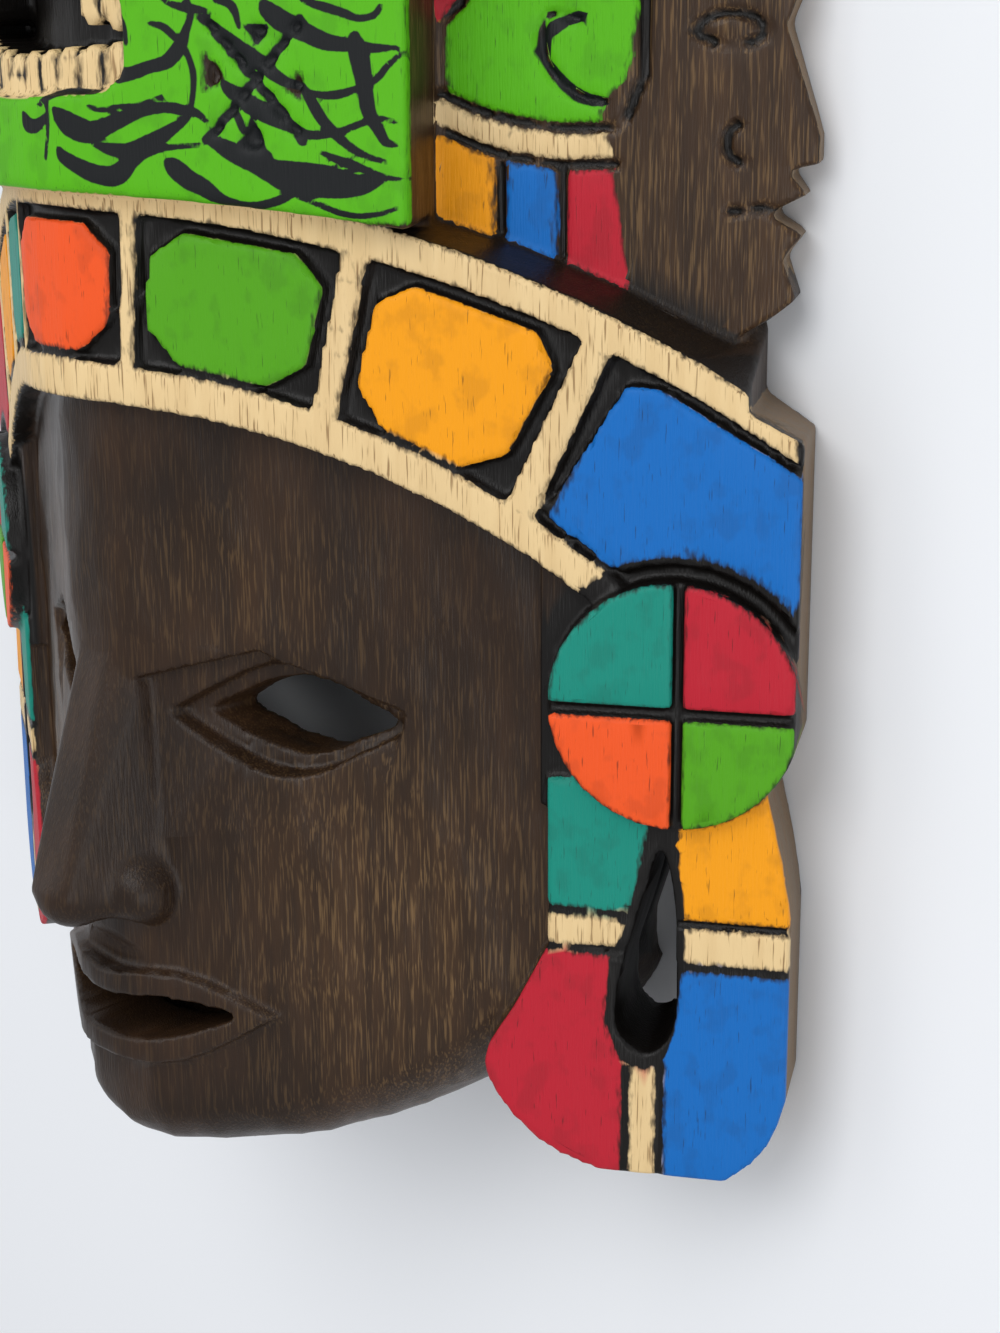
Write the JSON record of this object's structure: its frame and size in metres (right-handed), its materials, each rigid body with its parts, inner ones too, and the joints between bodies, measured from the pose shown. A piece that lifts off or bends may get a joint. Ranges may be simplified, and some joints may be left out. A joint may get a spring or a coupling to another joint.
{
  "type": "carved wooden mask",
  "caption": "Face mask carved in one from half a log, hollow behind, with a jewelled headband, ear spools, looped ear pendants and an animal's head over the brow.",
  "frame": {"origin": "the middle of the mask's outline, on the plane that its rim lies on", "axes": "+Z out of the face, +Y from the chin to the crest, +X to the right of a viewer who faces the mask"},
  "size_m": [0.2512, 0.31, 0.1028],
  "materials": {
    "stained_wood": "dark stained wood with matt paint and charred grooves, satin"
  },
  "bodies": {
    "root": {"carved_mask": "stained_wood"}
  },
  "joints": []
}
